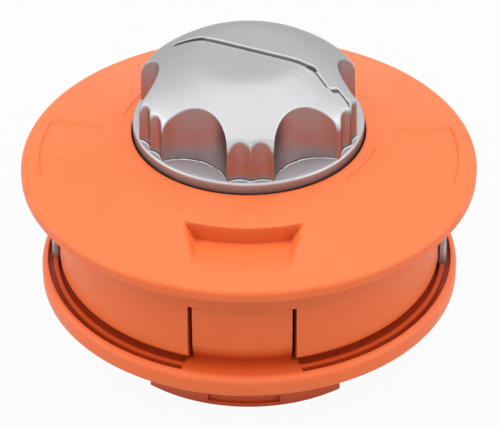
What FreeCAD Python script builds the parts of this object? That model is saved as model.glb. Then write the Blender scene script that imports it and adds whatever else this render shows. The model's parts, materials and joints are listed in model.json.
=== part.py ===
import FreeCAD
import Part
import Sketcher
import math
import os
from types import SimpleNamespace

# A bump feed trimmer head, standing on its drive side with the knob on top.
# The origin is the centre of the footprint, +Z is the spin axis, the latches are
# on -Y and +Y and the line eyelets on -X and +X. Millimetres and degrees.
SIZES = {
    # how far the knob and spool can be bumped in, and spring out, from rest
    "bump_travel": 4.0,
    "rise_travel": 2.0,
    # cover: a brim shaped as a shallow cone, a skirt and a band round the skirt's top
    "brim_radius": 62.5,
    "brim_level": 53.4,
    "brim_rise": 9.1,
    "brim_wall": 3.0,
    "brim_overhang": 10.0,
    "rim_height": 3.3,
    "rim_width": 2.2,
    "rim_round": 1.0,
    "hole_radius": 31.9,
    "hole_round": 0.5,
    "collar_wall": 3.3,
    "collar_depth": 11.9,
    "cover_wall": 2.4,
    "skirt_gap": 1.5,
    "skirt_draft": 0.7,
    "band_drop": 13.5,
    "band_proud": 0.8,
    # recesses in the brim: deep trays at front and back, shallow marks at the sides
    "tray_floor_rise": 1.9,
    "tray_width": 26.6,
    "tray_reach": 19.5,
    "tray_draft_angle": 35.0,
    "tray_backing": 2.4,
    "mark_reach": 23.0,
    "mark_margin": 5.2,
    "mark_inner_width": 7.2,
    "mark_outer_width": 27.2,
    "mark_depth": 0.7,
    # drive housing: a cup with a wide ring, feet and a hub
    "ring_reach": 5.9,
    "ring_level": 15.7,
    "ring_height": 6.0,
    "ring_plate": 2.2,
    "ring_round": 2.0,
    "lip_width": 1.7,
    "channel_depth": 2.2,
    "channel_gap": 0.7,
    "channel_wall": 1.2,
    "channel_end_margin_angle": 1.9,
    "spigot_wall": 2.0,
    "spigot_gap": 0.2,
    "spigot_height": 4.2,
    "cup_step": 9.0,
    "cup_wall": 2.2,
    "cup_level": 5.0,
    "floor_wall": 3.0,
    "foot_half_angle": 36.8,
    "foot_depth": 13.5,
    "panel_half_angle": 13.1,
    "panel_depth": 0.8,
    "panel_margin": 1.2,
    "rib_width": 2.0,
    "rib_height": 2.6,
    "hub_wall": 3.0,
    # latch fingers
    "latch_half_angle": 14.6,
    "slit_angle": 1.2,
    "latch_wall": 2.2,
    "latch_set_back": 0.2,
    "latch_gap": 0.5,
    "hinge_depth": 1.3,
    "hinge_gap": 0.4,
    "hinge_reach": 5.4,
    "hook_reach": 0.8,
    "hook_height": 3.0,
    "tip_length": 6.6,
    "hook_room": 0.4,
    # hub post, nut, spring and washer on the spin axis
    "post_wall": 2.2,
    "post_bore_wall": 2.4,
    "post_gap": 0.4,
    "running_gap": 0.06,
    "nut_flats": 17.0,
    "nut_height": 10.0,
    "nut_set_in": 1.5,
    "thread_radius": 4.32,
    "shaft_gap": 0.2,
    "spring_seat_wall": 1.5,
    "spring_wire": 1.4,
    "spring_room": 1.3,
    "spring_turns": 3.25,
    "washer_height": 1.2,
    "washer_gap": 0.66,
    # spool
    "spool_gap": 0.6,
    "drum_wall": 2.2,
    "flange_wall": 1.9,
    "flange_gap": 0.5,
    "upper_flange_drop": 6.6,
    "deck_wall": 1.5,
    "deck_top_wall": 4.3,
    "tube_wall": 1.94,
    "tube_gap": 1.5,
    "tunnel_radius": 2.2,
    "line_slot_width": 6.0,
    # ratchet lugs on the spool, and the stops that they pass
    "lug_length": 6.4,
    "lug_width": 5.6,
    "lug_gap": 1.6,
    "lug_clearance": 0.35,
    # eyelets
    "eyelet_width": 10.0,
    "eyelet_top_gap": 2.6,
    "eyelet_flange": 1.9,
    "eyelet_lip": 1.1,
    "eyelet_inner_flange": 1.3,
    "eyelet_bore_radius": 2.4,
    "eyelet_round": 1.0,
    "eyelet_set_in": 2.0,
    "eyelet_rest_gap": 0.4,
    "eyelet_slot_gap": 0.15,
    # knob
    "knob_gap": 0.4,
    "collar_rise": 3.1,
    "knob_height": 20.9,
    "knob_top_radius": 15.5,
    "knob_lobe_foot_inset": 0.3,
    "knob_lobe_inset": 0.5,
    "knob_side_height": 7.9,
    "knob_shoulder_inset": 2.4,
    "knob_shoulder_height": 12.5,
    "knob_crown_round": 40.0,
    "knob_shoulder_round": 6.25,
    "knob_plate": 4.0,
    "collar_plate": 3.0,
    "collar_skirt": 13.6,
    "collar_skirt_wall": 3.0,
    "stem_gap": 0.5,
    "scallop_radius": 12.0,
    "scallop_depth": 7.5,
    "flute_radius": 2.85,
    "flute_depth": 1.5,
    "flute_offset": 3.0,
    "knob_turn_angle": 3.0,
    "score_width": 1.0,
    "score_depth": 0.6,
    "score_half_length": 21.5,
    # screws that hold the knob to the spool
    "screw_radius": 2.0,
    "screw_length": 22.0,
    "screw_head_radius": 3.0,
    "screw_head_height": 2.4,
    "screw_socket_radius": 1.7,
    "screw_socket_depth": 1.4,
    "screw_room": 0.8,
    "screw_gap": 0.1,
    "screw_wall": 1.2,
}

LUG_COUNT = 8
LOBE_COUNT = 6
RIB_COUNT = 12
SCREW_COUNT = 3
PAST = 1.0  # how far a cutting shape runs past the face that it cuts

doc = FreeCAD.newDocument("TrimmerHead")


class Size:
    """A number that keeps the sheet formula it was worked out from."""

    def __init__(self, value, formula=None):
        self.value = float(value)
        self.formula = formula or repr(float(value))

    def combined(self, other, sign, value):
        return Size(value, f"({self.formula} {sign} {as_size(other).formula})")

    def __add__(self, other):
        return self.combined(other, "+", self.value + as_size(other).value)

    def __sub__(self, other):
        return self.combined(other, "-", self.value - as_size(other).value)

    def __mul__(self, other):
        return self.combined(other, "*", self.value * as_size(other).value)

    def __truediv__(self, other):
        return self.combined(other, "/", self.value / as_size(other).value)

    def __rsub__(self, other):
        return as_size(other) - self

    def __rmul__(self, other):
        return as_size(other) * self

    def __neg__(self):
        return as_size(0) - self


def as_size(number):
    return number if isinstance(number, Size) else Size(number)


def cosine(angle):
    angle = as_size(angle)
    return Size(math.cos(math.radians(angle.value)), f"cos({angle.formula} * 1 deg)")


def sine(angle):
    angle = as_size(angle)
    return Size(math.sin(math.radians(angle.value)), f"sin({angle.formula} * 1 deg)")


def root(square):
    return Size(math.sqrt(square.value), f"sqrt({square.formula})")


def tangent(angle):
    angle = as_size(angle)
    return Size(math.tan(math.radians(angle.value)), f"tan({angle.formula} * 1 deg)")


def make_sheet():
    sheet = doc.addObject("Spreadsheet::Sheet", "Sizes")
    for row, (alias, value) in enumerate(SIZES.items(), 1):
        sheet.set(f"A{row}", alias)
        sheet.set(f"B{row}", str(value))
        sheet.setAlias(f"B{row}", alias)
    doc.recompute()
    return SimpleNamespace(**{alias: Size(value, f"Sizes.{alias}") for alias, value in SIZES.items()})


s = make_sheet()


def bind(thing, **sizes):
    for name, size in sizes.items():
        setattr(thing, name, as_size(size).value)
        thing.setExpression(name, as_size(size).formula)
    return thing


def place(thing, x=0, y=0, z=0, axis=(0, 0, 1), angle=0):
    spot = [as_size(size) for size in (x, y, z)]
    turn = FreeCAD.Rotation(FreeCAD.Vector(*axis), angle)
    thing.Placement = FreeCAD.Placement(FreeCAD.Vector(*[size.value for size in spot]), turn)
    for letter, size in zip("xyz", spot):
        thing.setExpression(f"Placement.Base.{letter}", size.formula)
    return thing


def cylinder(name, radius, low, high, x=0, y=0):
    round_bar = bind(doc.addObject("Part::Cylinder", name), Radius=radius, Height=high - low)
    return place(round_bar, x, y, low)


def lying_cylinder(name, radius, near, far, z):
    """A round bar along X, from near to far, at height z."""
    bar = bind(doc.addObject("Part::Cylinder", name), Radius=radius, Height=far - near)
    return place(bar, near, 0, z, (0, 1, 0), 90)


def box(name, near, far, width, low, high):
    """A block from near to far along X, centred on Y."""
    block = bind(doc.addObject("Part::Box", name), Length=far - near, Width=width, Height=high - low)
    return place(block, near, -width / 2, low)


def radial_box(name, near, far, width, low, high, angle):
    """A block that runs outwards from the spin axis at a fixed angle."""
    block = bind(doc.addObject("Part::Box", name), Length=far - near, Width=width, Height=high - low)
    across, along = math.sin(math.radians(angle)), math.cos(math.radians(angle))
    x = near * along + width / 2 * across
    y = near * across - width / 2 * along
    return place(block, x, y, low, angle=angle)


def hexagon(name, corner_radius, low, high, x=0, y=0):
    prism = bind(doc.addObject("Part::Prism", name), Circumradius=corner_radius, Height=high - low)
    prism.Polygon = 6
    return place(prism, x, y, low)


def sector(name, inner, outer, low, high, half_angle):
    """A slice of a ring, centred on +Y."""
    wedge = bind(
        doc.addObject("Part::Cylinder", name + "_wedge"),
        Radius=outer,
        Height=high - low,
        Angle=half_angle * 2,
    )
    place(wedge, 0, 0, low, angle=90 - half_angle.value)
    wedge.setExpression("Placement.Rotation.Angle", (90 - half_angle).formula)
    return cut(name, wedge, cylinder(name + "_core", inner, low - PAST, high + PAST))


def arch(name, width, height, near, far, low):
    """An upright block with a round top, from near to far along X."""
    top = low + height - width / 2
    return fuse(
        name,
        box(name + "_sides", near, far, width, low, top),
        lying_cylinder(name + "_top", width / 2, near, far, top),
    )


def fuse(name, *pieces):
    joined = doc.addObject("Part::MultiFuse", name)
    joined.Shapes = list(pieces)
    joined.Refine = True
    return joined


def cut(name, base, *tools):
    removed = doc.addObject("Part::Cut", name)
    removed.Base = base
    removed.Tool = tools[0] if len(tools) == 1 else fuse(name + "_tools", *tools)
    removed.Refine = True
    return removed


def common(name, base, tool):
    shared = doc.addObject("Part::Common", name)
    shared.Base, shared.Tool = base, tool
    return shared


def mirrored(name, source, normal):
    """The source and its mirror image, as one tool."""
    image = doc.addObject("Part::Mirroring", name + "_image")
    image.Source = source
    image.Normal = FreeCAD.Vector(*normal)
    return fuse(name, source, image)


def front_and_back(name, source):
    return mirrored(name, source, (0, 1, 0))


def both_sides(name, source):
    return mirrored(name, source, (1, 0, 0))


def origin_plane(body, role):
    return next(plane for plane in body.Origin.OriginFeatures if plane.Role == role)


def pin_vertex(sketch, line, end, point):
    """Tie a sketch point to its two sizes, measured from the origin."""
    for axis, line_at_zero, size in (("X", -2, point[0]), ("Y", -1, point[1])):
        if size.value == 0:
            sketch.addConstraint(Sketcher.Constraint("PointOnObject", line, end, line_at_zero))
            continue
        tie = Sketcher.Constraint(f"Distance{axis}", -1, 1, line, end, size.value)
        sketch.setExpression(f"Constraints[{sketch.addConstraint(tie)}]", size.formula)


def arc_between(start, end, radius, side):
    """The short arc from start to end, with its centre on the left (1) or the right (-1)."""
    middle, run = (start + end) / 2, end - start
    rise = math.sqrt(radius**2 - (run.Length / 2) ** 2)
    centre = middle + FreeCAD.Vector(-run.y, run.x, 0).normalize() * rise * side
    first, last = (start, end) if side > 0 else (end, start)
    angles = [math.atan2(spot.y - centre.y, spot.x - centre.x) for spot in (first, last)]
    return Part.ArcOfCircle(Part.Circle(centre, FreeCAD.Vector(0, 0, 1), radius), *angles)


def outline_sketch(body, points):
    """A closed outline of (radius, height) corners in the XZ plane. A corner with two more
    values, a radius and a side, is joined to the next one by an arc."""
    sketch = body.newObject("Sketcher::SketchObject", body.Name + "_outline")
    sketch.AttachmentSupport = (origin_plane(body, "XZ_Plane"), [""])
    sketch.MapMode = "FlatFace"
    corners = [(as_size(point[0]), as_size(point[1])) for point in points]
    spots = [FreeCAD.Vector(across.value, up.value, 0) for across, up in corners]
    first_ends = []
    for number, point in enumerate(points):
        start, end = spots[number], spots[(number + 1) % len(points)]
        if len(point) == 2:
            sketch.addGeometry(Part.LineSegment(start, end), False)
            first_ends.append((1, 2))
            continue
        sketch.addGeometry(arc_between(start, end, point[2].value, point[3]), False)
        first_ends.append((1, 2) if point[3] > 0 else (2, 1))
    for number, corner in enumerate(corners):
        before = (number - 1) % len(points)
        sketch.addConstraint(
            Sketcher.Constraint(
                "Coincident", before, first_ends[before][1], number, first_ends[number][0]
            )
        )
        pin_vertex(sketch, number, first_ends[number][0], corner)
    for number, point in enumerate(points):
        if len(point) > 2:
            curve = sketch.addConstraint(Sketcher.Constraint("Radius", number, point[2].value))
            sketch.setExpression(f"Constraints[{curve}]", point[2].formula)
    return sketch


def revolved(name, points, rounds=()):
    """A turned body. rounds lists the circular edges to round, as (radius, height, round)."""
    body = doc.addObject("PartDesign::Body", name)
    turn = body.newObject("PartDesign::Revolution", name + "_turn")
    turn.Profile = outline_sketch(body, points)
    turn.ReferenceAxis = (turn.Profile[0], ["V_Axis"])
    turn.Angle = 360
    body.Tip = turn
    for number, (radius, height, size) in enumerate(rounds, 1):
        doc.recompute()
        base = body.Tip
        edges = [
            f"Edge{place_in_list}"
            for place_in_list, edge in enumerate(base.Shape.Edges, 1)
            if is_circle(edge, radius, height)
        ]
        edge_round = body.newObject("PartDesign::Fillet", f"{name}_round{number}")
        edge_round.Base = (base, edges)
        bind(edge_round, Radius=size)
        body.Tip = edge_round
    return body


def is_circle(edge, radius, height):
    if not isinstance(edge.Curve, Part.Circle):
        return False
    return (
        abs(edge.Curve.Radius - radius.value) < 0.001
        and abs(edge.Curve.Center.z - height.value) < 0.001
    )


# Heights and radii that several pieces share, from the feet upwards and then outwards
hole_level = s.brim_level + s.brim_rise
band_level = s.brim_level - s.band_drop
collar_foot = hole_level - s.collar_depth
collar_level = hole_level + s.collar_rise
knob_top = collar_level + s.knob_height
ring_top = s.ring_level + s.ring_height
skirt_foot = ring_top + s.skirt_gap
chamber_floor = s.ring_level + s.ring_plate
cup_floor = s.cup_level + s.floor_wall
eyelet_level = ring_top - s.eyelet_set_in
eyelet_height = band_level - s.eyelet_top_gap - eyelet_level
line_level = eyelet_level + eyelet_height / 2
deck_foot = line_level - s.tunnel_radius - s.deck_wall
deck_level = line_level + s.tunnel_radius + s.deck_top_wall
washer_level = deck_foot - s.washer_height
post_top = washer_level - s.bump_travel - s.post_gap
nut_top = s.nut_set_in + s.nut_height
seat_level = nut_top + s.spring_seat_wall
tip_foot = band_level - s.latch_gap
tip_level = tip_foot + s.tip_length
lower_flange_level = chamber_floor + s.bump_travel + s.flange_gap
upper_flange_level = collar_foot - s.upper_flange_drop
upper_flange_top = upper_flange_level + s.flange_wall
lower_stop_level = chamber_floor - s.lug_clearance
upper_stop_level = upper_flange_top + s.rise_travel + s.lug_clearance
nut_corner = s.nut_flats / 2 / cosine(30)
post_radius = nut_corner + s.post_wall
shaft_hole_radius = s.thread_radius + s.shaft_gap
spring_bore = post_radius - s.post_bore_wall
spring_radius = spring_bore - s.spring_room - s.spring_wire / 2
tube_bore = post_radius + s.running_gap
tube_outer = tube_bore + s.tube_wall
screw_circle = tube_outer + s.screw_room + s.screw_head_radius
drum_inner = screw_circle + s.screw_head_radius + s.screw_room
drum_radius = drum_inner + s.drum_wall
hub_radius = post_radius + s.hub_wall
skirt_radius = s.brim_radius - s.brim_overhang
skirt_inner = skirt_radius - s.cover_wall
skirt_foot_radius = skirt_radius + s.skirt_draft
ring_radius = skirt_radius + s.ring_reach
cup_radius = skirt_radius - s.cup_step
cup_inner = cup_radius - s.cup_wall
spigot_outer = skirt_inner - s.spigot_gap
spigot_inner = spigot_outer - s.spigot_wall
spool_radius = spigot_inner - s.spool_gap
latch_outer = skirt_radius - s.latch_set_back
latch_inner = latch_outer - s.latch_wall
tip_outer = latch_outer - s.hook_reach - s.latch_set_back
tip_inner = latch_inner - s.hook_reach
window_half_angle = s.latch_half_angle + s.slit_angle
channel_end_angle = s.latch_half_angle + s.channel_end_margin_angle
eyelet_neck_width = s.eyelet_width - s.eyelet_lip * 2
eyelet_seat = skirt_foot_radius + s.eyelet_slot_gap
eyelet_face = eyelet_seat + s.eyelet_flange
eyelet_inside = skirt_inner - s.eyelet_slot_gap * 3
knob_collar_radius = s.hole_radius - s.knob_gap
lower_lug_far = cup_inner - s.lug_gap
lower_lug_near = lower_lug_far - s.lug_length
upper_lug_near = s.hole_radius + s.knob_gap
upper_lug_far = upper_lug_near + s.lug_length
lobe_radius = knob_collar_radius - s.knob_lobe_inset
shoulder_radius = knob_collar_radius - s.knob_shoulder_inset
shoulder_level = collar_level + s.knob_shoulder_height
tray_inner = s.brim_radius - s.tray_reach
tray_floor = s.brim_level + s.tray_floor_rise
brim_slope = s.brim_rise / (s.brim_radius - s.hole_radius)
stop_angles = [number * 360 / LUG_COUNT for number in range(LUG_COUNT)]
lug_angles = [angle + 180 / LUG_COUNT for angle in stop_angles]
screw_angles = [90 + number * 360 / SCREW_COUNT for number in range(SCREW_COUNT)]


def brim_at(radius):
    """The height of the brim's top at a radius."""
    return hole_level - (radius - s.hole_radius) * brim_slope


def make_cover():
    collar = s.hole_radius + s.collar_wall
    band = skirt_radius + s.band_proud
    rim_foot = s.brim_level - s.rim_height
    shell = revolved(
        "cover_shell",
        [
            (s.hole_radius, hole_level),
            (s.brim_radius, s.brim_level),
            (s.brim_radius, rim_foot),
            (s.brim_radius - s.rim_width, rim_foot),
            (band, brim_at(band) - s.brim_wall),
            (band, band_level),
            (skirt_radius, band_level),
            (skirt_foot_radius, skirt_foot),
            (skirt_inner, skirt_foot),
            (skirt_inner, brim_at(skirt_inner) - s.brim_wall),
            (collar, brim_at(collar) - s.brim_wall),
            (collar, collar_foot),
            (s.hole_radius, collar_foot),
        ],
        [
            (s.brim_radius, s.brim_level, s.rim_round),
            (s.brim_radius, rim_foot, s.rim_round / 2),
            (s.hole_radius, hole_level, s.hole_round),
            (band, band_level, s.band_proud / 2),
        ],
    )
    stops = [
        radial_box(
            f"cover_stop{number}",
            upper_lug_near,
            upper_lug_far,
            s.lug_width,
            upper_stop_level,
            brim_at(upper_lug_far) - s.brim_wall / 2,
            angle,
        )
        for number, angle in enumerate(stop_angles)
    ]
    solid = fuse("cover_solid", shell, front_and_back("tray_backings", make_tray_backing()), *stops)
    return cut(
        "cover",
        solid,
        front_and_back("latch_rooms", make_latch_room()),
        both_sides("eyelet_slots", make_eyelet_slot()),
        front_and_back("trays", make_tray()),
        both_sides("marks", make_mark()),
    )


def make_latch_room():
    """The window in the skirt for one latch finger, with room behind the band for its tip."""
    inside = skirt_inner - PAST
    window = sector(
        "latch_window",
        inside,
        skirt_foot_radius + PAST,
        skirt_foot - PAST,
        band_level,
        window_half_angle,
    )
    tip_room = sector(
        "latch_tip_room",
        inside,
        tip_outer + s.hook_room,
        tip_foot,
        tip_level + s.hook_room,
        window_half_angle,
    )
    hook_room = sector(
        "latch_hook_room",
        inside,
        tip_outer + s.hook_reach + s.hook_room,
        tip_level - s.hook_height - s.hook_room,
        tip_level + s.hook_room,
        window_half_angle,
    )
    return fuse("latch_room", window, tip_room, hook_room)


def make_eyelet_slot():
    """The slot in the skirt for one eyelet's neck, open at the skirt's foot."""
    width = eyelet_neck_width + s.eyelet_slot_gap * 2
    spare = s.eyelet_lip * 2
    top = eyelet_level + eyelet_height - spare / 2 + s.eyelet_slot_gap - width / 2
    near, far = skirt_inner - s.cover_wall, skirt_radius + s.cover_wall
    return fuse(
        "eyelet_slot",
        box("eyelet_slot_sides", near, far, width, skirt_foot - PAST, top),
        lying_cylinder("eyelet_slot_top", width / 2, near, far, top),
    )


def make_tray_backing():
    """The thicker wall under one tray, inside the skirt, centred on +Y."""
    inner, outer = tray_inner - s.tray_backing, skirt_inner + s.cover_wall / 2
    low, high = tray_floor - s.tray_backing, brim_at(skirt_radius) - s.brim_wall / 2
    ring = cut(
        "tray_backing_ring",
        cylinder("tray_backing_outer", outer, low, high),
        cylinder("tray_backing_inner", inner, low - PAST, high + PAST),
    )
    width = s.tray_width + s.brim_rise * tangent(s.tray_draft_angle) * 2
    slab = radial_box("tray_backing_slab", as_size(0), outer, width, low, high, 90)
    return common("tray_backing", ring, slab)


def make_tray():
    """One deep recess: a flat floor, drafted sides and a round inner wall, centred on +Y."""
    depth = s.brim_rise
    spread = s.tray_width / 2 + depth * tangent(s.tray_draft_angle)
    block = bind(
        doc.addObject("Part::Wedge", "tray_block"),
        Xmin=-s.tray_width / 2,
        Xmax=s.tray_width / 2,
        X2min=-spread,
        X2max=spread,
        Ymin=0,
        Ymax=depth,
        Zmin=-s.brim_radius,
        Zmax=0,
        Z2min=-s.brim_radius,
        Z2max=0,
    )
    place(block, 0, 0, tray_floor, (1, 0, 0), 90)
    core = cylinder("tray_core", tray_inner, tray_floor - PAST, tray_floor + depth + PAST)
    return cut("tray", block, core)


def make_mark():
    """One shallow mark that follows the cone, widening outwards along +X."""
    near, far = s.brim_radius - s.mark_reach, s.brim_radius - s.mark_margin
    skin_near = near - PAST
    skin = revolved(
        "mark_skin",
        [
            (skin_near, brim_at(skin_near) + PAST),
            (far, brim_at(far) + PAST),
            (far, brim_at(far) - s.mark_depth),
            (skin_near, brim_at(skin_near) - s.mark_depth),
        ],
    )
    low, high = s.brim_level - s.rim_height, hole_level + PAST
    wedge = bind(
        doc.addObject("Part::Wedge", "mark_wedge"),
        Xmin=-s.mark_inner_width / 2,
        Xmax=s.mark_inner_width / 2,
        X2min=-s.mark_outer_width / 2,
        X2max=s.mark_outer_width / 2,
        Ymin=near,
        Ymax=far,
        Zmin=low,
        Zmax=high,
        Z2min=low,
        Z2max=high,
    )
    place(wedge, angle=-90)
    return common("mark", skin, wedge)


def make_housing():
    shell = revolved(
        "housing_shell",
        [
            (0, 0),
            (hub_radius, 0),
            (hub_radius, s.cup_level),
            (cup_radius, s.cup_level),
            (cup_radius, s.ring_level),
            (ring_radius, s.ring_level),
            (ring_radius, ring_top),
            (spigot_outer, ring_top),
            (spigot_outer, ring_top + s.spigot_height),
            (spigot_inner, ring_top + s.spigot_height),
            (spigot_inner, chamber_floor),
            (cup_inner, chamber_floor),
            (cup_inner, cup_floor),
            (post_radius, cup_floor),
            (post_radius, post_top),
            (0, post_top),
        ],
        [
            (ring_radius, ring_top, s.ring_round),
            (ring_radius, s.ring_level, s.ring_round / 2),
        ],
    )
    foot = sector(
        "foot",
        cup_radius - s.foot_depth,
        cup_radius,
        as_size(0),
        s.cup_level + s.floor_wall / 2,
        s.foot_half_angle,
    )
    ribs = [
        radial_box(
            f"floor_rib{number}",
            hub_radius - PAST,
            cup_radius - s.cup_wall,
            s.rib_width,
            s.cup_level - s.rib_height,
            s.cup_level + s.floor_wall / 2,
            number * 360 / RIB_COUNT,
        )
        for number in range(RIB_COUNT)
    ]
    stops = [
        radial_box(
            f"housing_stop{number}",
            lower_lug_near,
            cup_inner + s.cup_wall / 2,
            s.lug_width,
            cup_floor - PAST,
            lower_stop_level,
            angle,
        )
        for number, angle in enumerate(stop_angles)
    ]
    body = cut("housing_body", shell, *make_housing_cuts())
    solid = fuse(
        "housing_solid",
        body,
        front_and_back("feet", foot),
        front_and_back("latch_fingers", make_latch_finger()),
        *ribs,
        *stops,
    )
    panel = sector(
        "foot_panel",
        cup_radius - s.panel_depth,
        cup_radius + PAST,
        s.panel_margin,
        s.ring_level - s.panel_margin,
        s.panel_half_angle,
    )
    return cut("drive_housing", solid, front_and_back("foot_panels", panel))


def make_housing_cuts():
    """The ring's channel with a wall in it, the gaps in the spigot and the bores of the hub."""
    channel_foot = ring_top - s.channel_depth
    channel_end = sector(
        "channel_end",
        spigot_inner,
        ring_radius,
        channel_foot - PAST,
        ring_top + PAST,
        channel_end_angle,
    )
    channel_split = skirt_foot_radius + s.channel_gap
    channel_wall = cut(
        "channel_wall",
        cylinder("channel_wall_out", channel_split + s.channel_wall, channel_foot - PAST, ring_top + PAST),
        cylinder("channel_wall_in", channel_split, channel_foot - PAST * 2, ring_top + PAST * 2),
    )
    channel = cut(
        "channel",
        cylinder("channel_outer", ring_radius - s.lip_width, channel_foot, ring_top + PAST),
        cylinder("channel_inner", spigot_outer, channel_foot - PAST, ring_top + PAST * 2),
        channel_wall,
        front_and_back("channel_ends", channel_end),
    )
    spigot_top = ring_top + s.spigot_height + PAST
    latch_gap = sector(
        "spigot_latch_gap",
        spigot_inner - s.spool_gap,
        spigot_outer + s.spigot_gap / 2,
        ring_top,
        spigot_top,
        channel_end_angle,
    )
    eyelet_gap = box(
        "eyelet_gap",
        spigot_inner - s.spigot_wall,
        eyelet_face + s.eyelet_rest_gap,
        s.eyelet_width + PAST,
        eyelet_level - s.eyelet_rest_gap,
        spigot_top,
    )
    return [
        channel,
        front_and_back("spigot_latch_gaps", latch_gap),
        both_sides("eyelet_gaps", eyelet_gap),
        hexagon("nut_pocket", nut_corner, as_size(-PAST), nut_top),
        cylinder("shaft_hole", shaft_hole_radius, s.nut_set_in, seat_level + PAST),
        cylinder("spring_bore", spring_bore, seat_level, post_top + PAST),
    ]


def make_latch_finger():
    """One upright spring finger, centred on +Y: it stands on the ring, is thinned at its root so
    that it can bend there, and has a hook at its tip."""
    root, bulge_foot = latch_outer - s.hinge_depth, ring_top + s.hinge_gap
    bulge = (s.hinge_depth * s.hinge_depth + s.hinge_reach * s.hinge_reach) / (s.hinge_depth * 2)
    hook_foot = tip_level - s.hook_height
    profile = revolved(
        "latch_profile",
        [
            (latch_inner, chamber_floor),
            (root, chamber_floor),
            (root, bulge_foot, bulge, 1),
            (latch_outer, bulge_foot + s.hinge_reach),
            (latch_outer, tip_foot),
            (tip_outer, tip_foot),
            (tip_outer, hook_foot),
            (tip_outer + s.hook_reach, hook_foot + s.hook_reach),
            (tip_outer, tip_level),
            (tip_inner, tip_level),
            (tip_inner, tip_foot + s.hook_reach),
            (latch_inner, tip_foot),
        ],
    )
    slice_tool = sector(
        "latch_slice",
        tip_inner - PAST,
        ring_radius,
        chamber_floor - PAST,
        tip_level + PAST,
        s.latch_half_angle,
    )
    return common("latch_finger", profile, slice_tool)


def make_nut():
    blank = hexagon("nut_blank", nut_corner, s.nut_set_in, nut_top)
    thread = cylinder("nut_thread", s.thread_radius, s.nut_set_in - PAST, nut_top + PAST)
    return cut("arbor_nut", blank, thread)


def make_spring():
    """A round wire coil that stands on its seat and reaches the washer."""
    coil_height = washer_level - seat_level - s.spring_wire
    path = bind(
        doc.addObject("Part::Helix", "spring_path"),
        Pitch=coil_height / s.spring_turns,
        Height=coil_height,
        Radius=spring_radius,
    )
    path.SegmentLength = 1
    place(path, 0, 0, seat_level + s.spring_wire / 2)
    wire = bind(doc.addObject("Part::Circle", "spring_section"), Radius=s.spring_wire / 2)
    place(wire, spring_radius, 0, seat_level + s.spring_wire / 2, (1, 0, 0), 90)
    doc.recompute()
    coil = doc.addObject("Part::Sweep", "spring")
    coil.Sections = [wire]
    coil.Spine = (path, [f"Edge{turn + 1}" for turn in range(len(path.Shape.Edges))])
    coil.Solid = True
    coil.Frenet = True
    return coil


def make_washer():
    disc = cylinder("washer_disc", tube_bore - s.washer_gap, washer_level, deck_foot)
    hole = cylinder("washer_hole", shaft_hole_radius, washer_level - PAST, deck_foot + PAST)
    return cut("thrust_washer", disc, hole)


def make_spool():
    tube_foot = cup_floor + s.bump_travel + s.tube_gap
    middle_foot = line_level - s.flange_wall / 2
    middle_top = line_level + s.flange_wall / 2
    turned = revolved(
        "spool_turned",
        [
            (0, deck_foot),
            (tube_bore, deck_foot),
            (tube_bore, tube_foot),
            (tube_outer, tube_foot),
            (tube_outer, deck_foot),
            (drum_inner, deck_foot),
            (drum_inner, lower_flange_level),
            (spool_radius, lower_flange_level),
            (spool_radius, lower_flange_level + s.flange_wall),
            (drum_radius, lower_flange_level + s.flange_wall),
            (drum_radius, middle_foot),
            (spool_radius, middle_foot),
            (spool_radius, middle_top),
            (drum_radius, middle_top),
            (drum_radius, upper_flange_level),
            (spool_radius, upper_flange_level),
            (spool_radius, upper_flange_top),
            (drum_inner, upper_flange_top),
            (drum_inner, deck_level),
            (0, deck_level),
        ],
    )
    half_wall = s.flange_wall / 2
    lower = (lower_lug_near, lower_lug_far, s.lug_width, chamber_floor, lower_flange_level + half_wall)
    upper_lug_top = upper_flange_top + s.rise_travel
    upper = (upper_lug_near, upper_lug_far, s.lug_width, upper_flange_top - half_wall, upper_lug_top)
    lugs = []
    for number, angle in enumerate(lug_angles):
        lugs.append(radial_box(f"lower_lug{number}", *lower, angle))
        lugs.append(radial_box(f"upper_lug{number}", *upper, angle))
    solid = fuse("spool_solid", turned, *lugs)
    tunnel = lying_cylinder("line_tunnel", s.tunnel_radius, -spool_radius, spool_radius, line_level)
    slot = box(
        "line_slot",
        drum_radius + s.drum_wall,
        spool_radius + PAST,
        s.line_slot_width,
        middle_foot - PAST,
        middle_top + PAST,
    )
    holes = screw_bars("spool_hole", s.screw_radius + s.screw_gap, deck_foot - PAST, deck_level + PAST)
    return cut("spool", solid, tunnel, both_sides("line_slots", slot), *holes)


def screw_bars(name, radius, low, high):
    return [
        cylinder(
            f"{name}{number}",
            radius,
            low,
            high,
            screw_circle * math.cos(math.radians(angle)),
            screw_circle * math.sin(math.radians(angle)),
        )
        for number, angle in enumerate(screw_angles)
    ]


def make_screws():
    head_foot = deck_foot - s.screw_head_height
    shank_foot = deck_foot - s.screw_head_height / 2
    shanks = screw_bars("screw_shank", s.screw_radius, shank_foot, deck_foot + s.screw_length)
    heads = screw_bars("screw_head", s.screw_head_radius, head_foot, deck_foot)
    screws = []
    for number, (shank, head, angle) in enumerate(zip(shanks, heads, screw_angles)):
        x = screw_circle * math.cos(math.radians(angle))
        y = screw_circle * math.sin(math.radians(angle))
        socket_top = head_foot + s.screw_socket_depth
        socket = hexagon(f"screw_socket{number}", s.screw_socket_radius, head_foot - PAST, socket_top, x, y)
        screws.append(cut(f"screw{number}", fuse(f"screw_blank{number}", shank, head), socket))
    group = doc.addObject("Part::Compound", "knob_screws")
    group.Links = screws
    return group


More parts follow.
